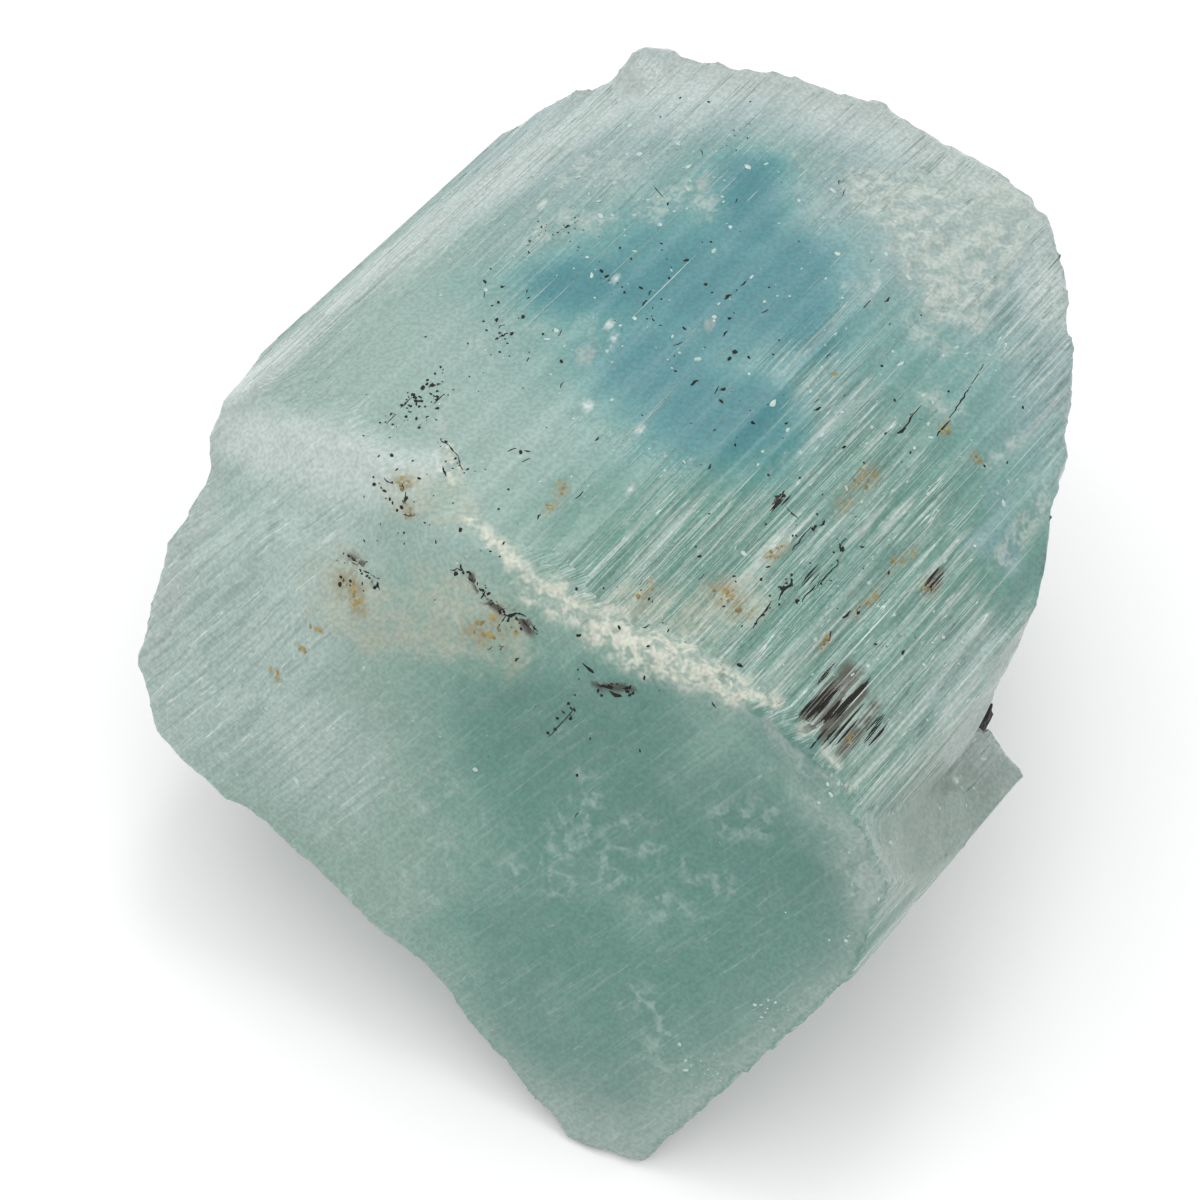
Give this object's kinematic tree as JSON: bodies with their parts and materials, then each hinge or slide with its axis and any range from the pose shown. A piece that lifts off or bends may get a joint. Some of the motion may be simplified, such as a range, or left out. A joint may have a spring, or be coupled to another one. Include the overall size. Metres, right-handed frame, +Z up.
{
  "type": "aquamarine crystal",
  "caption": "Rough, broken aquamarine crystal with a ribbed prism face, a sloping broken end and a grain of mica in its side.",
  "frame": {"origin": "centre of the bounding box's bottom face, at the height of the rest face", "axes": "+Z up from the rest face. +X to the right and +Y away from the viewer of the picture. The crystal's long axis lies flat, 51.5 degrees from +X towards +Y"},
  "size_m": [0.0586, 0.068, 0.0324],
  "materials": {
    "beryl": "natural, part etched and part broken, pale blue-green and milky",
    "mica": "dark brown flaky mica"
  },
  "bodies": {
    "root": {"aquamarine_crystal": "beryl", "mica_grain": "mica"}
  },
  "joints": []
}
